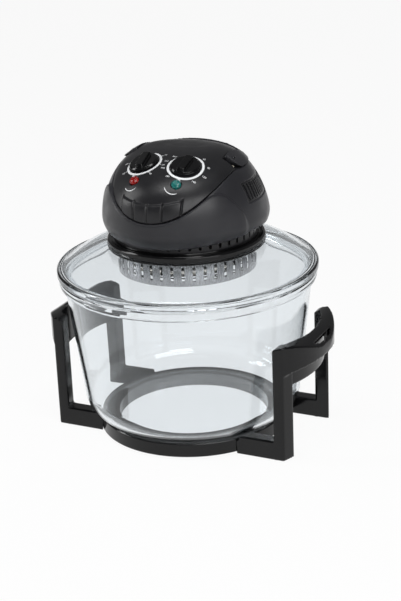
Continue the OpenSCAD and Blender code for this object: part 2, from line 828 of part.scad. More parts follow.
module knob(side) {
    bar_w = knob_r * 0.5;
    color([0.03, 0.03, 0.03]) difference() {
        on_panel(side) translate([0, 0, knob_gap]) union() {
            rotate_extrude($fn = 72) polygon([[0, 0], [knob_r - 0.6, 0], [knob_r, 0.8],
                [knob_r - 1, knob_base_h - 1], [knob_r - 2.2, knob_base_h], [0, knob_base_h]]);
            translate([0, 0, knob_base_h - 1]) intersection() {
                translate([-bar_w / 2, -knob_r, 0]) cube([bar_w, 2 * knob_r, knob_bar_h + 1]);
                translate([0, 0, -1])
                    cylinder(r1 = knob_r - 1.5, r2 = knob_r - 5, h = knob_bar_h + 2, $fn = 72);
            }
        }
        on_panel(side) translate([0, 0, -1])
            cylinder(r = control_shaft_r, h = knob_gap + knob_base_h + 3, $fn = small_fn);
    }
}

module timer_knob() {
    knob(-1);
}

module temperature_knob() {
    knob(1);
}

lens_in = 5;
lens_out = 2;

module lens(side) {
    on_lamp(side) union() {
        translate([0, 0, -lens_in]) cylinder(r = lens_r, h = lens_in + lens_out, $fn = 48);
        translate([0, 0, lens_out]) cylinder(r1 = lens_r, r2 = lens_r - 2, h = 1.6, $fn = 48);
    }
}

module power_lens() {
    color([0.8, 0.1, 0.08]) lens(-1);
}

module heat_lens() {
    color([0.2, 0.62, 0.6]) lens(1);
}

module lamp_holders() {
    holder_h = 8;
    color([0.9, 0.9, 0.85]) for (side = [-1, 1]) on_lamp(side) translate([0, 0, -lens_in - holder_h])
        cylinder(r = lens_r - 1, h = holder_h, $fn = small_fn);
}

// Motor and fans

motor_screw_ring = motor_r + 6;
motor_screw_r = 1.5;
motor_z = neck_top + floor_t;
bush_r = 6;
bush_h = 7;
foot_plate_h = 4;
shaft_low = guard_low + 6;
shaft_top = motor_z + motor_len + 8;
bush_clear = 0.05;

module motor_plate() {
    color([0.72, 0.72, 0.74]) difference() {
        translate([0, 0, plate_z]) cylinder(r = plate_r, h = plate_t, $fn = round_fn);
        translate([0, 0, plate_z - 1]) cylinder(r = motor_shaft_r + 3, h = plate_t + 2, $fn = small_fn);
        around(4, pillar_ring, 45) translate([0, 0, plate_z - 1])
            cylinder(r = pillar_screw_r + hole_gap, h = plate_t + 2, $fn = small_fn);
        around(8, cool_fan_r - 6, 0) translate([0, 0, plate_z - 1])
            cylinder(r = 6, h = plate_t + 2, $fn = small_fn);
    }
}

module motor_case() {
    color([0.6, 0.6, 0.62]) difference() {
        union() {
            translate([0, 0, motor_z]) cylinder(r = motor_r, h = motor_len, $fn = round_fn);
            around(4, motor_screw_ring, 45) translate([0, 0, motor_z])
                cylinder(r = 5, h = foot_plate_h, $fn = small_fn);
            for (a = [45, 135]) rotate([0, 0, a]) translate([-motor_screw_ring, -4, motor_z])
                cube([2 * motor_screw_ring, 8, foot_plate_h]);
        }
        translate([0, 0, motor_z - 1]) cylinder(r = bush_r, h = motor_len + 2, $fn = 48);
        around(4, motor_screw_ring, 45) translate([0, 0, motor_z - 1])
            cylinder(r = motor_screw_r + hole_gap / 2, h = 2 * foot_plate_h, $fn = small_fn);
    }
}

module motor_bushes() {
    color([0.75, 0.6, 0.3]) for (z = [motor_z, motor_z + motor_len - bush_h]) translate([0, 0, z])
        difference() {
            cylinder(r = bush_r, h = bush_h, $fn = 48);
            translate([0, 0, -1]) cylinder(r = motor_shaft_r + bush_clear, h = bush_h + 2, $fn = 48);
        }
}

module motor_screws() {
    color([0.6, 0.6, 0.6]) around(4, motor_screw_ring, 45) translate([0, 0, neck_top])
        screw_up(motor_screw_r, 10, 2.6, 1.8);
}

module motor_shaft() {
    color([0.78, 0.78, 0.8]) translate([0, 0, shaft_low])
        cylinder(r = motor_shaft_r, h = shaft_top - shaft_low, $fn = 48);
}

// A fan of straight pitched blades on a hub, with a disc that carries them
module fan(r, hub_r, blades, h, blade_t) {
    difference() {
        union() {
            cylinder(r = hub_r, h = h, $fn = 48);
            cylinder(r = r * 0.8, h = 1, $fn = round_fn);
            intersection() {
                cylinder(r = r, h = h, $fn = round_fn);
                for (i = [0:blades - 1]) rotate([0, 0, 360 * i / blades])
                    translate([hub_r - 1, -blade_t / 2, 0]) cube([r, blade_t, h]);
            }
        }
        translate([0, 0, -1]) cylinder(r = motor_shaft_r, h = h + 2, $fn = 48);
    }
}

cool_fan_z = flange_top + 3;
cool_fan_h = neck_h - 8;
hot_fan_z = guard_low + 8;
hot_fan_h = 10;

module cooling_fan() {
    color([0.3, 0.3, 0.32]) translate([0, 0, cool_fan_z]) fan(cool_fan_r, 8, 9, cool_fan_h, 1.5);
}

module convection_fan() {
    color([0.82, 0.82, 0.84]) translate([0, 0, hot_fan_z]) fan(hot_fan_r, 9, hot_fan_blades, hot_fan_h, 1);
}

module fan_nut() {
    color([0.75, 0.65, 0.35]) translate([0, 0, hot_fan_z - 1.8]) difference() {
        cylinder(r = 5.5, h = 1.8, $fn = 6);
        translate([0, 0, -1]) cylinder(r = motor_shaft_r, h = 5, $fn = 48);
    }
}

// Heater

reflector_z = flange_z - 11;
reflector_t = 1;
pillar_r = 4;
pillar_ring = tube_ring_r + tube_r + pillar_r + 0.5;
pillar_screw_r = 1.6;
disc_r = pillar_ring - pillar_r - 2;
disc_h = 5;
shaft_gap = 2.5;
tube_z = guard_low + 11;
leg_angle = 8;

module insulation_disc() {
    color([0.9, 0.88, 0.8]) difference() {
        translate([0, 0, reflector_z + reflector_t + hole_gap])
            cylinder(r = disc_r, h = disc_h, $fn = round_fn);
        translate([0, 0, reflector_z]) cylinder(r = motor_shaft_r + shaft_gap, h = 2 * disc_h, $fn = 48);
        tube_leg_holes(tube_r + 2);
    }
}

module tube_leg_holes(r) {
    for (sy = [-1, 1]) rotate([0, 0, sy * leg_angle]) translate([tube_ring_r, 0, reflector_z - 5])
        cylinder(r = r, h = 40, $fn = small_fn);
}

module reflector_plate() {
    color([0.85, 0.85, 0.86]) difference() {
        union() {
            translate([0, 0, reflector_z])
                cylinder(r = guard_r - guard_t - 2 * hole_gap, h = reflector_t, $fn = round_fn);
        }
        translate([0, 0, reflector_z - 1]) cylinder(r = motor_shaft_r + shaft_gap, h = 4, $fn = 48);
        around(4, pillar_ring, 45) translate([0, 0, reflector_z - 1])
            cylinder(r = pillar_screw_r + hole_gap, h = 4, $fn = small_fn);
        tube_leg_holes(tube_r + 0.6);
    }
}

module reflector_pillars() {
    top = plate_z;
    color([0.7, 0.7, 0.7]) around(4, pillar_ring, 45) difference() {
        union() {
            translate([0, 0, reflector_z + reflector_t])
                cylinder(r = pillar_r, h = top - reflector_z - reflector_t, $fn = small_fn);
            translate([0, 0, reflector_z - 2]) cylinder(r = pillar_screw_r, h = 4, $fn = small_fn);
            translate([0, 0, reflector_z - 2]) cylinder(r = 3, h = 2, $fn = small_fn);
            translate([0, 0, top - 1]) cylinder(r = pillar_screw_r, h = 5, $fn = small_fn);
        }
    }
}

module halogen_tube() {
    color([0.95, 0.85, 0.7]) translate([0, 0, tube_z]) union() {
        rotate([0, 0, leg_angle]) rotate_extrude(angle = 360 - 2 * leg_angle, $fn = round_fn)
            translate([tube_ring_r, 0]) circle(r = tube_r, $fn = small_fn);
        for (sy = [-1, 1]) rotate([0, 0, sy * leg_angle]) translate([tube_ring_r, 0, 0])
            cylinder(r = tube_r - 0.4, h = reflector_z - tube_z - 0.5, $fn = small_fn);
    }
}

module tube_end_caps() {
    color([0.93, 0.92, 0.88]) for (sy = [-1, 1]) rotate([0, 0, sy * leg_angle])
        translate([tube_ring_r, 0, reflector_z - 0.5]) cylinder(r = tube_r + 0.3, h = 9, $fn = small_fn);
}

module tube_clips() {
    color([0.8, 0.8, 0.82]) for (a = [90, 180, 270]) rotate([0, 0, a])
        translate([tube_ring_r, 0, 0]) difference() {
            translate([-tube_r - 1.2, -2, tube_z - 2]) cube([2 * tube_r + 2.4, 4, reflector_z - tube_z + 2]);
            translate([-tube_r - 0.1, -3, tube_z - 3])
                cube([2 * tube_r + 0.2, 6, tube_r + 4]);
        }
}

module guard_cylinder() {
    slot_low = guard_low + 6.4;
    slot_top = flange_z - 7;
    color([0.8, 0.8, 0.8]) difference() {
        union() {
            translate([0, 0, guard_low]) tube(guard_r, guard_r - guard_t, guard_drop);
            translate([0, 0, flange_z - guard_t]) tube(guard_r - 0.2, guard_r - 6, guard_t);
        }
        for (i = [0:guard_slots / 2 - 1]) rotate([0, 0, 360 * (i + 0.5) / guard_slots])
            translate([-guard_r - 2, -guard_slot_w / 2, slot_low])
            cube([2 * guard_r + 4, guard_slot_w, slot_top - slot_low]);
        around(6, guard_screw_ring, 0) translate([0, 0, flange_z - 3])
            cylinder(r = guard_screw_r + hole_gap, h = 5, $fn = small_fn);
    }
}

module guard_screws() {
    color([0.7, 0.7, 0.7]) around(6, guard_screw_ring, 0) translate([0, 0, flange_z - guard_t])
        screw_up(guard_screw_r, 7, 2, 1.2);
}

module bottom_grille() {
    wire = 1.2;
    hub = 11;
    grille_r = guard_r - guard_t - hole_gap;
    color([0.8, 0.8, 0.82]) translate([0, 0, guard_low + 0.3]) union() {
        for (i = [1:4]) let (r = hub + (grille_r - hub) * i / 5) tube(r + wire / 2, r - wire / 2, 1.6);
        tube(grille_r, grille_r - 2, 2.4);
        for (a = [0:30:150]) rotate([0, 0, a]) difference() {
            translate([-grille_r + 1, -wire / 2, 0]) cube([2 * grille_r - 2, wire, 1.6]);
            translate([-10, -5, -1]) cube([20, 10, 4]);
        }
        tube(hub, hub - 2, 1.6);
    }
}

module thermal_cutout() {
    color([0.2, 0.2, 0.22]) translate([-cool_fan_r - 14, 0, plate_z + plate_t]) union() {
        cylinder(r = 8, h = 3, $fn = small_fn);
        cylinder(r = 6, h = 9, $fn = small_fn);
    }
}

module terminal_block() {
    color([0.9, 0.9, 0.85]) translate([-14, core_rear + 6, neck_top + floor_t]) difference() {
        cube([28, 12, 11]);
        for (i = [0:2]) translate([5 + 9 * i, 6, 5]) cylinder(r = 2, h = 10, $fn = small_fn);
    }
}

gland_r = 8;
gland_z = flange_top + 32;
cord_hole_r = 3.6;

module cord_gland() {
    out_y = head_rear + 6;
    color([0.06, 0.06, 0.06]) translate([0, out_y, gland_z]) rotate([90, 0, 0]) difference() {
        union() {
            cylinder(r = gland_r, h = 20, $fn = 48);
            cylinder(r = gland_r + 2.5, h = 4, $fn = 48);
        }
        translate([0, 0, -1]) cylinder(r = cord_hole_r, h = 30, $fn = small_fn);
    }
}

base_ring();
left_side_frame();
right_side_frame();
rubber_feet();
frame_screws();
glass_bowl();
glass_lid();
upper_gasket();
retainer_ring();
retainer_screws();
lid_flange();
neck_ring();
lower_housing();
top_cover();
left_vent_grille();
right_vent_grille();
housing_screws();
carry_handle();
handle_pivot_pins();
switch_body();
switch_plunger();
timer_unit();
timer_shaft();
timer_knob();
thermostat_unit();
thermostat_shaft();
temperature_knob();
power_lens();
heat_lens();
lamp_holders();
motor_plate();
motor_case();
motor_bushes();
motor_screws();
motor_shaft();
cooling_fan();
convection_fan();
fan_nut();
insulation_disc();
reflector_plate();
reflector_pillars();
halogen_tube();
tube_end_caps();
tube_clips();
guard_cylinder();
guard_screws();
bottom_grille();
thermal_cutout();
terminal_block();
cord_gland();
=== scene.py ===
import json
import math

import bmesh
import bpy
import numpy as np
from mathutils import Matrix, Vector
from mathutils.bvhtree import BVHTree


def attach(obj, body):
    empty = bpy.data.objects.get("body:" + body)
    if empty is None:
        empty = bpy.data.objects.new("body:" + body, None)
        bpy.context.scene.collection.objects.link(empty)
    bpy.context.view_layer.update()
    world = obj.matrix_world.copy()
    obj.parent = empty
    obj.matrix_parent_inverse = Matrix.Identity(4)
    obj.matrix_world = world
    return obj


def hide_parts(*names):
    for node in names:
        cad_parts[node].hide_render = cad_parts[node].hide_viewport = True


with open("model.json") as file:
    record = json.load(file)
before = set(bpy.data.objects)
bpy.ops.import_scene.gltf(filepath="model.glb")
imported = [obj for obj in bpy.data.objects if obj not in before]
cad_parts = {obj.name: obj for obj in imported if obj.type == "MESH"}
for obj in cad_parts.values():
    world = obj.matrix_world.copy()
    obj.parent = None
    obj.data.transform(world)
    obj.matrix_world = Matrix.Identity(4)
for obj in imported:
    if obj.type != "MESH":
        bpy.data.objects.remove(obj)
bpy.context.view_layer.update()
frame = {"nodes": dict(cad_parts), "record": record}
nodes = frame["nodes"]
scene = bpy.context.scene
MM = 0.001


# Camera, from the fit of the rims, the guard and the feet

PHOTO_W, PHOTO_H = 401, 601
FOCAL_PX = 1498.05
AXIS_X, AXIS_Y = 189.24, 297.05  # where the lens's axis meets the photo, in pixels
FILM_MM = 36
AZ, EL, ROLL = math.radians(26.709), math.radians(20.295), math.radians(-2.555)
DIST = 1.9125
AIM = Vector((0, 0, 0.17))
toward = Vector((math.sin(AZ) * math.cos(EL), -math.cos(AZ) * math.cos(EL), math.sin(EL)))
side = Vector((math.cos(AZ), math.sin(AZ), 0))
above = Vector((-math.sin(AZ) * math.sin(EL), math.cos(AZ) * math.sin(EL), math.cos(EL)))
right = side * math.cos(ROLL) + above * math.sin(ROLL)
up = above * math.cos(ROLL) - side * math.sin(ROLL)
cam_data = bpy.data.cameras.new("camera")
cam = bpy.data.objects.new("camera", cam_data)
scene.collection.objects.link(cam)
axes = Matrix((right, up, toward)).transposed().to_4x4()
cam.matrix_world = Matrix.Translation(AIM + toward * DIST) @ axes
cam_data.sensor_width = FILM_MM
cam_data.lens = FILM_MM * FOCAL_PX / PHOTO_H
cam_data.shift_x = (PHOTO_W / 2 - AXIS_X) / PHOTO_H
cam_data.shift_y = (AXIS_Y - PHOTO_H / 2) / PHOTO_H
scene.camera = cam
scene.view_settings.view_transform = "Standard"


# Materials

class Graph:
    """A small helper that wires the nodes of a material or of the world."""

    def __init__(self, owner, output):
        owner.use_nodes = True
        self.tree = owner.node_tree
        self.tree.nodes.clear()
        self.out = self.add(output)
        self.coords = None
        self.path = None

    def add(self, kind, **values):
        node = self.tree.nodes.new(kind)
        for key, value in values.items():
            setattr(node, key, value)
        return node

    def link(self, a, b):
        self.tree.links.new(a, b)

    def feed(self, socket, value):
        """Set a socket to a number or a colour, or link another socket to it."""
        if isinstance(value, (int, float)):
            socket.default_value = value
        elif isinstance(value, tuple):
            socket.default_value = (*value, 1)
        else:
            self.link(value, socket)

    def position(self, scale=(1, 1, 1)):
        if self.coords is None:
            self.coords = self.add("ShaderNodeTexCoord").outputs["Object"]
        if scale == (1, 1, 1):
            return self.coords
        node = self.add("ShaderNodeMapping")
        self.link(self.coords, node.inputs["Vector"])
        node.inputs["Scale"].default_value = scale
        return node.outputs["Vector"]

    def noise(self, scale, detail=2, rough=0.5, stretch=(1, 1, 1)):
        node = self.add("ShaderNodeTexNoise")
        node.inputs["Scale"].default_value = scale
        node.inputs["Detail"].default_value = detail
        node.inputs["Roughness"].default_value = rough
        self.link(self.position(stretch), node.inputs["Vector"])
        return node.outputs["Fac"]

    def spread(self, fac, low, high, a=0.3, b=0.7, kind="LINEAR"):
        """Map a to b onto low to high. What lies outside a to b is held at the ends."""
        node = self.add("ShaderNodeMapRange", interpolation_type=kind)
        for socket, value in (("From Min", a), ("From Max", b), ("To Min", low), ("To Max", high)):
            node.inputs[socket].default_value = value
        self.link(fac, node.inputs["Value"])
        return node.outputs["Result"]

    def mix(self, fac, a, b):
        node = self.add("ShaderNodeMix", data_type="RGBA")
        self.link(fac, node.inputs["Factor"])
        self.feed(node.inputs[6], a)
        self.feed(node.inputs[7], b)
        return node.outputs[2]

    def maths(self, operation, a, b):
        node = self.add("ShaderNodeMath", operation=operation)
        self.feed(node.inputs[0], a)
        self.feed(node.inputs[1], b)
        return node.outputs[0]

    def ray(self, kind):
        """1 for rays of this kind, 0 for all others."""
        if self.path is None:
            self.path = self.add("ShaderNodeLightPath")
        return self.path.outputs[kind]

    def any_ray(self, *kinds):
        """1 for rays of any of these kinds."""
        found = self.ray(kinds[0])
        for kind in kinds[1:]:
            found = self.maths("MAXIMUM", found, self.ray(kind))
        return found

    def normal(self, height, distance, strength=1.0, round_r=0.0):
        """Bumps of a height, over edges that look rounded to round_r."""
        bump = self.add("ShaderNodeBump")
        bump.inputs["Strength"].default_value = strength
        bump.inputs["Distance"].default_value = distance
        self.link(height, bump.inputs["Height"])
        if round_r:
            bevel = self.add("ShaderNodeBevel", samples=4)
            bevel.inputs["Radius"].default_value = round_r
            self.link(bevel.outputs["Normal"], bump.inputs["Normal"])
        return bump.outputs["Normal"]

    def mix_shader(self, fac, one, two):
        node = self.add("ShaderNodeMixShader")
        for socket, value in zip(node.inputs, (fac, one, two)):
            self.link(value, socket)
        return node.outputs["Shader"]

    def surface(self, shader):
        self.link(shader, self.out.inputs["Surface"])


class Mat(Graph):
    def __init__(self, name):
        self.mat = bpy.data.materials.new(name)
        super().__init__(self.mat, "ShaderNodeOutputMaterial")


def plastic(name, tone, rough, grain, grain_depth, round_r=0.0008, gloss=0.32):
    """Moulded plastic: a fine grain, faint colour and gloss changes, softened edges."""
    m = Mat(name)
    bsdf = m.add("ShaderNodeBsdfPrincipled")
    cloud = m.noise(22, 3)
    fine = m.noise(grain, 2, 0.6)
    paler = tuple(c * 1.35 + 0.002 for c in tone)
    m.link(m.mix(m.spread(cloud, 0, 1), tone, paler), bsdf.inputs["Base Color"])
    m.link(m.spread(m.noise(60, 4), rough * 0.85, rough * 1.2), bsdf.inputs["Roughness"])
    m.link(m.normal(fine, grain_depth, 1.0, round_r), bsdf.inputs["Normal"])
    bsdf.inputs["Specular IOR Level"].default_value = gloss
    m.surface(bsdf.outputs["BSDF"])
    return m.mat


def metal(name, tone, rough, stretch, brush, anis=0.0, inside=0.0):
    """Metal with fine brush lines along one direction, and painted shade that darkens it within the radius
    inside.
    """
    m = Mat(name)
    bsdf = m.add("ShaderNodeBsdfPrincipled")
    lines = m.noise(brush, 3, 0.6, stretch)
    face = m.mix(m.spread(m.noise(35, 3), 0, 1), tuple(c * 0.86 for c in tone), tone)
    if inside:
        flat = m.add("ShaderNodeVectorMath", operation="MULTIPLY")
        flat.inputs[1].default_value = (1, 1, 0)
        m.link(m.position(), flat.inputs[0])
        radius = m.add("ShaderNodeVectorMath", operation="LENGTH")
        m.link(flat.outputs["Vector"], radius.inputs[0])
        outside = m.spread(radius.outputs["Value"], 0, 1, inside - 0.0002, inside)
        # painted shade: within the radius the steel drops to 12% of its tone, standing in for the shade
        # inside the guard
        face = m.mix(outside, tuple(c * 0.12 for c in tone), face)
    m.link(face, bsdf.inputs["Base Color"])
    bsdf.inputs["Metallic"].default_value = 1.0
    m.link(m.spread(lines, rough * 0.75, rough * 1.3), bsdf.inputs["Roughness"])
    m.link(m.normal(lines, 0.000004, 0.5, 0.0004), bsdf.inputs["Normal"])
    bsdf.inputs["Anisotropic"].default_value = anis
    m.surface(bsdf.outputs["BSDF"])
    return m.mat


def glass(name, tint, rough=0.0):
    """Clear glass that lets light through to what is behind it, with the slight waves of a pressing."""
    m = Mat(name)
    clear = m.add("ShaderNodeBsdfGlass")
    clear.inputs["IOR"].default_value = 1.47
    clear.inputs["Roughness"].default_value = rough
    paler = tuple(min(1, c * 1.01) for c in tint)
    m.link(m.mix(m.spread(m.noise(9, 2), 0, 1), tint, paler), clear.inputs["Color"])
    m.link(m.normal(m.noise(14, 2), 0.00015, 0.25), clear.inputs["Normal"])
    through = m.add("ShaderNodeBsdfTransparent")
    through.inputs["Color"].default_value = (0.93, 0.95, 0.95, 1)
    lighting = m.any_ray("Is Shadow Ray", "Is Diffuse Ray")
    m.surface(m.mix_shader(lighting, clear.outputs["BSDF"], through.outputs["BSDF"]))
    return m.mat


def lens_material(name, tone):
    """Tinted plastic that light passes through in part, with an uneven colour."""
    m = Mat(name)
    bsdf = m.add("ShaderNodeBsdfPrincipled")
    darker = tuple(c * 0.55 for c in tone)
    m.link(m.mix(m.spread(m.noise(420, 2), 0, 1), darker, tone), bsdf.inputs["Base Color"])
    m.link(m.spread(m.noise(300, 2), 0.08, 0.2), bsdf.inputs["Roughness"])
    m.link(m.normal(m.noise(500, 2), 0.0002, 0.5), bsdf.inputs["Normal"])
    bsdf.inputs["Transmission Weight"].default_value = 0.35
    bsdf.inputs["Emission Color"].default_value = (*tone, 1)
    bsdf.inputs["Emission Strength"].default_value = 0.05
    m.surface(bsdf.outputs["BSDF"])
    return m.mat


GUARD_SHADE_R = 0.0857  # painted shade darkens the guard's steel within this radius, the guard's bore
M = {
    "black_gloss": plastic("black_gloss", (0.0018, 0.0018, 0.0021), 0.12, 900, 0.000006, gloss=0.30),
    "black_satin": plastic("black_satin", (0.0085, 0.0085, 0.0097), 0.33, 1500, 0.00002),
    "grey_satin": plastic("grey_satin", (0.0150, 0.0150, 0.0175), 0.36, 1500, 0.00002),
    "clear_glass": glass("clear_glass", (0.940, 0.952, 0.960)),
    "quartz": glass("quartz", (0.97, 0.95, 0.92), 0.05),
    "red_lens": lens_material("red_lens", (0.36, 0.008, 0.006)),
    "green_lens": lens_material("green_lens", (0.02, 0.23, 0.21)),
    "steel": metal("steel", (0.46, 0.46, 0.47), 0.24, (1, 1, 0.02), 900, 0.3, GUARD_SHADE_R),
    "zinc": metal("zinc", (0.62, 0.63, 0.65), 0.3, (1, 1, 1), 300),
    "aluminium": metal("aluminium", (0.75, 0.75, 0.76), 0.32, (1, 1, 1), 200),
    "brass": metal("brass", (0.68, 0.5, 0.22), 0.28, (1, 1, 1), 300),
    "ceramic": plastic("ceramic", (0.62, 0.58, 0.48), 0.5, 700, 0.00004, 0.0004),
    "dial_paint": plastic("dial_paint", (0.62, 0.63, 0.64), 0.45, 1200, 0.00001, 0.0),
    "rubber": plastic("rubber", (0.012, 0.012, 0.012), 0.7, 900, 0.00006, 0.0006),
}
slots = {p["node"]: p["material_slot"] for p in frame["record"]["subparts"]}
for name, obj in nodes.items():
    obj.data.materials.clear()
    obj.data.materials.append(M[slots[name]])


# Mesh tools

def piece(name, mesh, slot, body, *replaced, smooth=True):
    """Make a piece from a mesh, give it its finish, and let it ride on its body."""
    mesh.name = name
    mesh.materials.clear()
    mesh.materials.append(M[slot])
    mesh.polygons.foreach_set("use_smooth", [smooth] * len(mesh.polygons))
    obj = bpy.data.objects.new(name, mesh)
    scene.collection.objects.link(obj)
    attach(obj, body)
    if replaced:
        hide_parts(*replaced)
    return obj


def mesh_from(points, faces):
    mesh = bpy.data.meshes.new("piece")
    mesh.from_pydata([tuple(p) for p in points], [], faces)
    mesh.validate()
    return mesh


LONG_RUN, NEAR_END = 3.2, 0.5  # mm
ON_AXIS = 1e-6


def held(profile):
    """Add points close to both ends of long straight runs, so that soft shading keeps them straight."""
    out = []
    for i, (r, z) in enumerate(profile):
        out.append((r, z))
        r2, z2 = profile[(i + 1) % len(profile)]
        run = math.hypot(r2 - r, z2 - z)
        if run > LONG_RUN and max(r, r2) > ON_AXIS:
            for f in (NEAR_END / run, 0.34, 0.67, 1 - NEAR_END / run):
                out.append((r + (r2 - r) * f, z + (z2 - z) * f))
    return out


def lathe(profile, steps=288):
    """Turn a closed outline of (radius, height) in mm round the Z axis."""
    profile = held(profile)
    points = []
    start = []
    for r, z in profile:
        start.append(len(points))
        if r < ON_AXIS:
            points.append((0, 0, z * MM))
        else:
            for k in range(steps):
                t = 2 * math.pi * k / steps
                points.append((r * MM * math.cos(t), r * MM * math.sin(t), z * MM))
    faces = []
    count = len(profile)
    for i in range(count):
        j = (i + 1) % count
        one, two = profile[i][0] < ON_AXIS, profile[j][0] < ON_AXIS
        if one and two:
            continue
        for k in range(steps):
            n = (k + 1) % steps
            a, b = start[i] + (0 if one else k), start[i] + (0 if one else n)
            c, d = start[j] + (0 if two else n), start[j] + (0 if two else k)
            faces.append((a, c, d) if one else (a, b, c) if two else (a, b, c, d))
    return mesh_from(points, faces)


def rounded(profile, radii, steps=5):
    """Replace each corner of a closed outline by an arc of its radius."""
    out = []
    count = len(profile)
    for i, r in enumerate(radii):
        p = Vector((*profile[i], 0))
        a = Vector((*profile[i - 1], 0)) - p
        b = Vector((*profile[(i + 1) % count], 0)) - p
        if r <= 0 or a.length < 1e-6 or b.length < 1e-6:
            out.append(tuple(profile[i]))
            continue
        half = a.angle(b) / 2
        cut = min(r / math.tan(half), a.length * 0.49, b.length * 0.49)
        rr = cut * math.tan(half)
        centre = p + (a.normalized() + b.normalized()).normalized() * (rr / math.sin(half))
        u = p + a.normalized() * cut - centre
        v = p + b.normalized() * cut - centre
        sweep = u.angle(v)
        for s in range(steps + 1):
            f = s / steps
            w = (u * math.sin((1 - f) * sweep) + v * math.sin(f * sweep)) / math.sin(sweep)
            out.append(((centre + w).x, (centre + w).y))
    return out


def arc(cx, cz, r, a0, a1, steps):
    return [(cx + r * math.cos(math.radians(a0 + (a1 - a0) * i / steps)),
             cz + r * math.sin(math.radians(a0 + (a1 - a0) * i / steps))) for i in range(steps + 1)]


def get_points(mesh):
    co = np.empty(len(mesh.vertices) * 3, dtype=np.float64)
    mesh.vertices.foreach_get("co", co)
    return co.reshape(-1, 3)


def set_points(mesh, co):
    mesh.vertices.foreach_set("co", co.astype(np.float32).ravel())
    mesh.update()


def get_normals(mesh):
    out = np.empty(len(mesh.vertices) * 3, dtype=np.float32)
    mesh.vertices.foreach_get("normal", out)
    return out.reshape(-1, 3).astype(np.float64)


def get_edges(mesh):
    out = np.empty(len(mesh.edges) * 2, dtype=np.int32)
    mesh.edges.foreach_get("vertices", out)
    return out.reshape(-1, 2)


def relax(co, edges, rounds, shrink=0.5, grow=-0.52):
    """Round off a mesh without shrinking it."""
    n = len(co)
    ends = np.concatenate([edges[:, 0], edges[:, 1]])
    others = np.concatenate([edges[:, 1], edges[:, 0]])
    degree = np.maximum(1, np.bincount(ends, minlength=n))
    for _ in range(rounds):
        for factor in (shrink, grow):
            mean = np.stack([np.bincount(ends, co[others, k], n) / degree for k in range(3)], axis=1)
            co = co + factor * (mean - co)
    return co


def voxel_copy(node, voxel, rounds):
    """A fine, soft-edged mesh in the shape of a solid of the frame."""
    work = nodes[node].data.copy()
    bm = bmesh.new()
    bm.from_mesh(work)
    bmesh.ops.remove_doubles(bm, verts=bm.verts, dist=2e-6)
    bmesh.ops.triangulate(bm, faces=bm.faces)
    bm.to_mesh(work)
    bm.free()
    obj = bpy.data.objects.new("work", work)
    scene.collection.objects.link(obj)
    mod = obj.modifiers.new("voxel", "REMESH")
    mod.mode = "VOXEL"
    mod.voxel_size = voxel * MM
    fine = bpy.data.meshes.new_from_object(obj.evaluated_get(bpy.context.evaluated_depsgraph_get()))
    bpy.data.objects.remove(obj)
    set_points(fine, relax(get_points(fine), get_edges(fine), rounds))
    return fine


# The head's outer form, with the same curves as the solids, in mm

MM_PER_M = 1000
WIDE_Z, FRONT_Z, CROWN_Z = 285.0, 285.5, 369.9
HALF_W, FORE, BACK = 104.0, 104.5, 114.0
PLAN_N = 1.9
SPLIT_R, SPLIT_Z = 83.5, 382.5
NOTCH_Y = -12.4


def taper(u, p, q):
    """1 at the widest height, near 0 at the crown."""
    return np.maximum(1e-5, 1 - np.clip(u, 0, 1) ** p) ** (1 / q)


def form_plan(z):
    """Half width, mid depth and half depth of the form at height z."""
    under = np.where(z < WIDE_Z, 0.0208 * (WIDE_Z - z) ** 2, 0)
    u = (z - WIDE_Z) / (CROWN_Z - WIDE_Z)
    a = HALF_W * taper(u, 1.45, 4) - under
    back = BACK * taper(u, 1.5, 2.8) - under
    fore = FORE * taper((z - FRONT_Z) / (CROWN_Z - FRONT_Z), 3.2, 1.5) - under
    return a, (back - fore) / 2, (back + fore) / 2


def level(p):
    """Below 1 inside the form, above 1 outside it."""
    a, y0, b = form_plan(p[:, 2])
    return (np.abs(p[:, 0] / a) ** PLAN_N + np.abs((p[:, 1] - y0) / b) ** PLAN_N) ** (1 / PLAN_N)


def form_normal(p):
    h = 0.05
    g = np.stack([(level(p + h * e) - level(p - h * e)) for e in np.eye(3)], axis=1)
    return g / np.maximum(1e-9, np.linalg.norm(g, axis=1))[:, None]


TOP_EDGE = CROWN_Z - 0.02
FORM_FOOT = 262.0
SHOULDER_Z = 290.0
HALVINGS = 26


def on_form(p):
    """The nearest place on the form: sideways on its walls, straight down on its top."""
    low = p.copy()
    low[:, 2] = np.minimum(p[:, 2], TOP_EDGE)
    y0 = form_plan(low[:, 2])[1]
    rho = np.maximum(0.05, level(low))
    aside = low.copy()
    aside[:, 0] = p[:, 0] / rho
    aside[:, 1] = y0 + (p[:, 1] - y0) / rho
    down = p.copy()
    bottom, top = np.full(len(p), FORM_FOOT), np.full(len(p), CROWN_Z)
    for _ in range(HALVINGS):
        mid = (bottom + top) / 2
        down[:, 2] = mid
        inside = level(down) < 1
        bottom = np.where(inside, mid, bottom)
        top = np.where(inside, top, mid)
    down[:, 2] = bottom
    probe = low.copy()
    probe[:, 2] -= 0.3
    flat = np.clip(form_normal(probe)[:, 2], 0, 1) ** 2
    over = p.copy()
    over[:, 2] = SHOULDER_Z
    flat = np.where(level(over) < 1, flat, 0)
    return aside * (1 - flat)[:, None] + down * flat[:, None]


def smooth_step(x, a, b):
    t = np.clip((x - a) / (b - a), 0, 1)
    return t * t * (3 - 2 * t)


def edge_round(d, r):
    """How far a surface drops at distance d from an edge that is rounded to r."""
    t = np.clip(r - d, 0, r)
    return r - np.sqrt(np.maximum(0, r * r - t * t))


# The ridge of the apron: angle round the head from the front, height
ARCH = [(20, 306), (27, 313.5), (32.8, 319), (37.3, 322.6), (42.2, 326.2), (47.3, 328.9), (52.3, 329.7),
        (57.2, 327.2), (62.7, 319.5), (66.9, 311), (70.4, 302.4), (73.5, 292), (76, 280), (78, 262)]
ARCH_START = 20
MM_PER_DEGREE = 1.55
APRON_PROUD, APRON_LIP = 2.6, 3.4


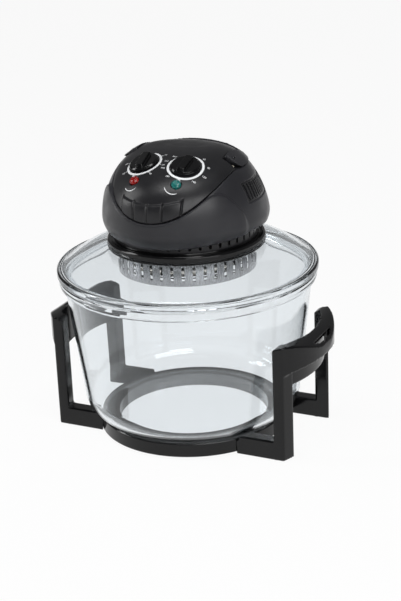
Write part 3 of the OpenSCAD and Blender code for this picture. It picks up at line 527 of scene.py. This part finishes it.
def apron(p):
    """The housing stands proud below the arch and the split, with a soft edge."""
    phi = np.degrees(np.arctan2(np.abs(p[:, 0]), -p[:, 1]))
    angles, heights = np.array(ARCH).T
    slope = np.interp(phi, angles, np.gradient(heights, angles)) / MM_PER_DEGREE
    gap = (np.interp(phi, angles, heights) - p[:, 2]) / np.sqrt(1 + slope ** 2)
    gap = np.where(phi < ARCH_START, 50, gap)
    fade = smooth_step(p[:, 2], 272, 300)
    width = 2.2 + 10.0 * (1 - fade)
    proud = APRON_PROUD * smooth_step(gap, -0.2 * width, width) * (1 - smooth_step(phi, 66, 82))
    split = np.hypot(p[:, 0], p[:, 2] - SPLIT_Z) - SPLIT_R
    lip = 0.9 * edge_round(np.maximum(split, 0), APRON_LIP)
    return proud - np.where(p[:, 1] < NOTCH_Y, lip, 0)


KEY_X = (-37.5, -18.5, 0.0, 19.0, 40.0)
KEYS_FRONT_Y = -60
KEY_SWELL, SLOT_DEPTH = 2.3, 2.6
COVER_LIP = 1.6


def key_top(x):
    return np.interp(np.abs(x), [0, 18.6, 36.8, 60], [320.4, 322.0, 325.1, 332.0])


def cover_shape(p):
    """Four finger keys between five slots at the foot of the dial panel."""
    x, z = p[:, 0], p[:, 2]
    among = (smooth_step(x, KEY_X[0] - 0.6, KEY_X[0] + 0.6)
             * smooth_step(-x, -KEY_X[-1] - 0.6, -KEY_X[-1] + 0.6))
    below = key_top(x) - z
    swell = KEY_SWELL * smooth_step(below, -2.0, 1.8) * (1 - 0.55 * smooth_step(below, 2, 22))
    slot = np.min([np.abs(x - k) for k in KEY_X], axis=0)
    depth = SLOT_DEPTH * (1 - smooth_step(slot, 0.55, 1.25)) * smooth_step(below, -2.8, -1.2)
    keys = np.where(p[:, 1] < KEYS_FRONT_Y, swell * among - depth, 0)
    split = SPLIT_R - np.hypot(x, z - SPLIT_Z)
    lip = 0.5 * edge_round(np.maximum(split, 0), COVER_LIP)
    return keys - np.where(p[:, 1] < NOTCH_Y, lip, 0)


REACH = 1.6  # a point nearer than this to the form is drawn onto it


def moulding(node, voxel, shape=None, proud=0.0):
    """A fine copy of a head moulding whose outside lies on the smooth form."""
    mesh = voxel_copy(node, voxel, 3)
    co = get_points(mesh) * MM_PER_M
    normal = get_normals(mesh)
    spot = on_form(co)
    facing = form_normal(spot - np.array([0, 0, 0.2]))
    spot = spot + facing * proud
    gap = np.einsum("ij,ij->i", co - spot, facing)
    along = np.einsum("ij,ij->i", normal, facing)
    weight = smooth_step(along, 0.72, 0.94) * (1 - smooth_step(np.abs(gap), REACH * 0.7, REACH))
    weight = weight * smooth_step(CROWN_Z + proud - spot[:, 2], 0.1, 0.8)
    if shape:
        spot = spot + facing * shape(spot)[:, None]
    co = co + weight[:, None] * (spot - co)
    set_points(mesh, co / MM_PER_M)
    return mesh


piece("housing", moulding("lower_housing", 1.25, apron), "grey_satin", "lid", "lower_housing")
cover = piece("cover", moulding("top_cover", 0.85, cover_shape), "black_satin", "lid", "top_cover")
piece("handle", moulding("carry_handle", 1.0, None, 2.0), "grey_satin", "handle", "carry_handle")


# Side frames

frame_mesh = voxel_copy("right_side_frame", 1.5, 4)
piece("side_frame_right", frame_mesh, "black_gloss", "stand", "right_side_frame")
mirrored = frame_mesh.copy()
bm = bmesh.new()
bm.from_mesh(mirrored)
bmesh.ops.scale(bm, vec=(-1, 1, 1), verts=bm.verts)
bmesh.ops.reverse_faces(bm, faces=bm.faces)
bm.to_mesh(mirrored)
bm.free()
piece("side_frame_left", mirrored, "black_gloss", "stand", "left_side_frame")


# Turned pieces

ring_profile = rounded([(97, 3), (121.5, 3), (121.5, 20), (120, 21.5), (116, 21.5), (114, 20), (97, 20)],
                       [0.6, 1.2, 1.2, 0.8, 0.6, 0.3, 0.8])
piece("ring", lathe(ring_profile), "black_gloss", "stand", "base_ring")

GLASS_STEPS = 320
bowl_out = arc(105, 55, 35, -90, 0, 20)
bowl_in = arc(105, 55, 30, 0, -90, 20)
bead = rounded([(157.5, 196), (160.5, 198), (162.7, 200.5), (163.5, 204), (163.5, 209), (162, 211),
                (154, 211), (152.5, 209)], [3, 2, 2, 2, 1.6, 1.6, 1.4, 1.4])
bowl_profile = [(0, 20)] + bowl_out + bead + bowl_in + [(0, 25)]
piece("bowl_glass", lathe(bowl_profile, GLASS_STEPS), "clear_glass", "bowl", "glass_bowl")

DOME_RISE, DOME_STEPS = 25.2, 24


def dome(rim_r, run, rim_z):
    """The lid's curve from its rim up to its hole, a quarter of a sine wave."""
    return [(rim_r - run * i / DOME_STEPS, rim_z + DOME_RISE * math.sin(math.radians(90 * i / DOME_STEPS)))
            for i in range(DOME_STEPS + 1)]


lid_rim = rounded([(151, 207.5), (151, 211), (164, 211), (165.5, 213), (165.5, 219), (163, 222)],
                  [1, 0.6, 1.2, 1.6, 2, 1.6])
lid_profile = (lid_rim + dome(159.5, 57.5, 221) + [(93, 246.2), (93, 242.2)] + dome(158.5, 56.5, 217)[::-1]
               + [(147, 213), (147, 207.5)])
piece("lid_glass", lathe(lid_profile, GLASS_STEPS), "clear_glass", "lid", "glass_lid")

flange_profile = rounded([(79, 247.2), (98.5, 247.2), (100, 248.7), (100, 255.5), (98, 257.7), (94.5, 257.7),
                          (93.5, 255.5), (91, 255.5), (90.5, 258.5), (83.7, 258.5), (83.7, 257), (79, 257)],
                         [0.4, 1, 1.2, 1.6, 1.4, 0.6, 0.5, 0.5, 0.4, 0.3, 0.3, 0.4])
piece("flange", lathe(flange_profile), "black_gloss", "lid", "lid_flange")


# Knobs, lenses and the prints of the dial panel

for node_name, body in (("timer_knob", "timer"), ("temperature_knob", "temperature")):
    piece(node_name + "_soft", voxel_copy(node_name, 0.5, 3), "black_gloss", body, node_name)

DIAL_X, FLARE = 28, 8  # the two halves of the panel lean out by FLARE degrees
DIAL_AT = (-50, 358.1, 21)  # y, z and tilt
LAMP_AT = (-77.5, 343.2, 38)
FACETS = 10


def place(side_of, y, z, tilt):
    """A place on the left (-1) or right (1) half of the panel, with Z pointing out of it."""
    lean = Matrix.Rotation(math.radians(FLARE * side_of), 4, "Y")
    turn = lean @ Matrix.Rotation(math.radians(tilt), 4, "X")
    return Matrix.Translation(Vector((DIAL_X * side_of, y, z))) @ turn


def gem(side_of):
    """A faceted lens over its round foot."""
    at = place(side_of, *LAMP_AT)
    rings = [(5.95, -3.0, 0), (5.95, 0.9, 0), (4.6, 2.3, 18), (2.4, 3.1, 0)]
    points, faces = [], []
    for r, z, twist in rings:
        for k in range(FACETS):
            t = math.radians(360 / FACETS * k + twist)
            points.append(at @ Vector((r * math.cos(t), r * math.sin(t), z)) * MM)
    for base in range(0, FACETS * (len(rings) - 1), FACETS):
        for k in range(FACETS):
            n = (k + 1) % FACETS
            a, b, c, d = base + k, base + n, base + FACETS + n, base + FACETS + k
            faces += [(a, b, d), (b, c, d)]
    faces.append(tuple(reversed(range(FACETS))))
    faces.append(tuple(range(len(points) - FACETS, len(points))))
    return mesh_from(points, faces)


piece("lens_red", gem(-1), "red_lens", "lid", "power_lens", smooth=False)
piece("lens_green", gem(1), "green_lens", "lid", "heat_lens", smooth=False)

bm = bmesh.new()
bm.from_mesh(cover.data)
panel = BVHTree.FromBMesh(bm)
bm.free()

prints = {"points": [], "faces": []}
PAINT_LIFT, PAINT_SINK = 0.14, 0.3
CAST_FROM = 14  # height over the panel from which a print is dropped on it, mm


def stamp(at, flat, faces):
    """Lay a flat shape of the panel's plane on the cover as a thin layer of paint."""
    out = (at.to_3x3() @ Vector((0, 0, 1))).normalized()
    base = len(prints["points"])
    count = len(flat)
    tops, lows = [], []
    for x, y in flat:
        start = at @ Vector((x, y, CAST_FROM))
        hit = panel.ray_cast(start * MM, -out)[0]
        spot = hit / MM if hit else at @ Vector((x, y, 0))
        tops.append(spot + out * PAINT_LIFT)
        lows.append(spot - out * PAINT_SINK)
    prints["points"] += [p * MM for p in tops + lows]
    edges = {}
    for f in faces:
        prints["faces"].append(tuple(base + i for i in f))
        prints["faces"].append(tuple(base + count + i for i in reversed(f)))
        for i, j in zip(f, f[1:] + f[:1]):
            edges[(i, j)] = edges.get((i, j), 0) + 1
    for i, j in edges:
        if (j, i) not in edges:
            prints["faces"].append((base + j, base + i, base + count + i, base + count + j))


def band(at, cx, cy, r0, r1, a0, a1, fade=0.0):
    """An arc of paint from angle a0 to a1, with its two ends thinned by fade."""
    steps = max(6, int(abs(a1 - a0) / 3))
    flat = []
    for i in range(steps + 1):
        f = i / steps
        t = math.radians(a0 + (a1 - a0) * f)
        thin = fade * (1 - min(1, min(f, 1 - f) / 0.12))
        half = (r1 - r0) / 2 * (1 - thin)
        for r in ((r0 + r1) / 2 - half, (r0 + r1) / 2 + half):
            flat.append((cx + r * math.cos(t), cy + r * math.sin(t)))
    order = (0, 2, 3, 1) if a1 < a0 else (0, 1, 3, 2)
    stamp(at, flat, [tuple(2 * i + k for k in order) for i in range(steps)])


TICK_R, TICK_W = (23.6, 25.0), 0.9


def tick(at, angle):
    """A short line of paint that points away from the middle of a dial."""
    t = math.radians(angle)
    u, v = Vector((math.cos(t), math.sin(t))), Vector((-math.sin(t), math.cos(t))) * TICK_W / 2
    r0, r1 = TICK_R
    flat = [u * r0 - v, u * r1 - v, u * r1 + v, u * r0 + v]
    stamp(at, [tuple(p) for p in flat], [(0, 1, 2, 3)])


NUMERAL_SIZE = 3.6


def numeral(at, value, angle, reach_x, reach_y):
    """A number beside a dial, at an angle and on an oval round its middle."""
    x, y = reach_x * math.cos(math.radians(angle)), reach_y * math.sin(math.radians(angle))
    curve = bpy.data.curves.new("numeral", "FONT")
    curve.body = value
    curve.size = NUMERAL_SIZE
    curve.align_x = "CENTER"
    curve.align_y = "CENTER"
    curve.resolution_u = 4
    holder = bpy.data.objects.new("numeral", curve)
    scene.collection.objects.link(holder)
    graph = bpy.context.evaluated_depsgraph_get()
    mesh = bpy.data.meshes.new_from_object(holder.evaluated_get(graph))
    flat = [(v.co.x + x, v.co.y + y) for v in mesh.vertices]
    faces = []
    for p in mesh.polygons:
        f = tuple(p.vertices)
        faces.append(f if p.normal.z > 0 else f[::-1])
    stamp(at, flat, faces)
    bpy.data.objects.remove(holder)
    bpy.data.curves.remove(curve)


TIMER_MARKS = (("10", 39), ("20", -10), ("30", -53), ("40", -97), ("50", -150), ("60", 170))
HEAT_MARKS = (("65", 60), ("90", 22), ("120", -13), ("140", -46), ("160", -84), ("180", -118),
              ("200", -156), ("225", 172), ("250", 143))
DIAL_RING = (20.0, 22.8)
LAMP_ARC = (10.4, 11.3)

timer_at, heat_at = place(-1, *DIAL_AT), place(1, *DIAL_AT)
band(timer_at, 0, 0, *DIAL_RING, 94, -192, 0.55)
band(heat_at, 0, 0, *DIAL_RING, 93, -219, 0.55)
for value, angle in TIMER_MARKS:
    tick(timer_at, angle)
    numeral(timer_at, value, angle, 28.2, 27.2)
for value, angle in HEAT_MARKS:
    numeral(heat_at, value, angle, 27.8, 26.0)
for lamp_side in (-1, 1):
    band(place(lamp_side, *LAMP_AT), -2.0, -3.0, *LAMP_ARC, -152, -48, 0.7)
piece("dial_prints", mesh_from(prints["points"], prints["faces"]), "dial_paint", "lid", smooth=False)


# Stage

FLOOR_HALF, FLOOR_Z = 40, -0.0005
WHITE_SHARE = 0.93  # the rest of what the camera sees of the floor is its lit surface, with the shadow


def floor_material():
    """A pale floor that looks nearly white to the camera, in mirrors and through glass."""
    m = Mat("floor")
    bsdf = m.add("ShaderNodeBsdfPrincipled")
    cloud = m.spread(m.noise(3, 2), 0, 1)
    m.link(m.mix(cloud, (0.86, 0.86, 0.86), (0.88, 0.88, 0.88)), bsdf.inputs["Base Color"])
    m.link(m.spread(m.noise(8, 2), 0.5, 0.6), bsdf.inputs["Roughness"])
    seen = m.any_ray("Is Camera Ray", "Is Glossy Ray", "Is Transmission Ray")
    white = m.add("ShaderNodeEmission")
    white.inputs["Color"].default_value = (1, 1, 1, 1)
    share = m.maths("MULTIPLY", seen, WHITE_SHARE)
    m.surface(m.mix_shader(share, bsdf.outputs["BSDF"], white.outputs["Emission"]))
    return m.mat


corners = [(FLOOR_HALF * x, FLOOR_HALF * y, FLOOR_Z) for x, y in ((-1, -1), (1, -1), (1, 1), (-1, 1))]
floor_mesh = bpy.data.meshes.new("floor")
floor_mesh.from_pydata(corners, [], [(0, 1, 2, 3)])
floor_mesh.materials.append(floor_material())
floor = bpy.data.objects.new("floor", floor_mesh)
scene.collection.objects.link(floor)

# The world is white to the camera. Through glass it is white only low down, and reflections show a
# dim room with a little of the white from behind the object, so that dark and clear parts stay clean.
scene.world = bpy.data.worlds.new("world")
w = Graph(scene.world, "ShaderNodeOutputWorld")
w_white = w.add("ShaderNodeBackground")
w_white.inputs["Color"].default_value = (1, 1, 1, 1)
w_room = w.add("ShaderNodeBackground")
w_way = w.add("ShaderNodeSeparateXYZ")
w.link(w.add("ShaderNodeTexCoord").outputs["Generated"], w_way.inputs["Vector"])
w_ramp = w.add("ShaderNodeValToRGB")
ROOM_TONES = ((0.0, (0.05, 0.05, 0.05, 1)), (0.9, (0.16, 0.16, 0.165, 1)))
for stop, (height, tone) in zip(w_ramp.color_ramp.elements, ROOM_TONES):
    stop.position = height
    stop.color = tone
w.link(w_way.outputs["Z"], w_ramp.inputs["Fac"])
w.link(w_ramp.outputs["Color"], w_room.inputs["Color"])
REAR_SHARE = 0.16
w_rear = w.maths("MULTIPLY", w.spread(w_way.outputs["Y"], 0, 1, 0.1, 0.75, "SMOOTHSTEP"), REAR_SHARE)
w_mirrored = w.maths("MULTIPLY", w_rear, w.ray("Is Glossy Ray"))
w_low = w.spread(w_way.outputs["Z"], 1.0, 0.1, 0.3, 0.8, "SMOOTHSTEP")
w_through = w.maths("MULTIPLY", w.ray("Is Transmission Ray"), w_low)
w_seen = w.maths("MAXIMUM", w.ray("Is Camera Ray"), w_through)
w_share = w.maths("MAXIMUM", w_seen, w_mirrored)
w.surface(w.mix_shader(w_share, w_room.outputs["Background"], w_white.outputs["Background"]))


def softbox(name, at, aim, size, watts):
    data = bpy.data.lights.new(name, "AREA")
    data.shape = "RECTANGLE"
    data.size, data.size_y = size
    data.energy = watts
    obj = bpy.data.objects.new(name, data)
    scene.collection.objects.link(obj)
    obj.location = at
    obj.rotation_euler = (Vector(aim) - Vector(at)).to_track_quat("-Z", "Y").to_euler()


softbox("key", (1.6, -1.4, 1.2), (0, 0, 0.28), (1.9, 1.3), 38)
softbox("fill", (-1.7, -0.6, 1.0), (0, 0, 0.28), (0.5, 1.4), 16)
softbox("top", (0.1, -0.5, 2.1), (0, 0, 0.3), (1.2, 0.5), 16)
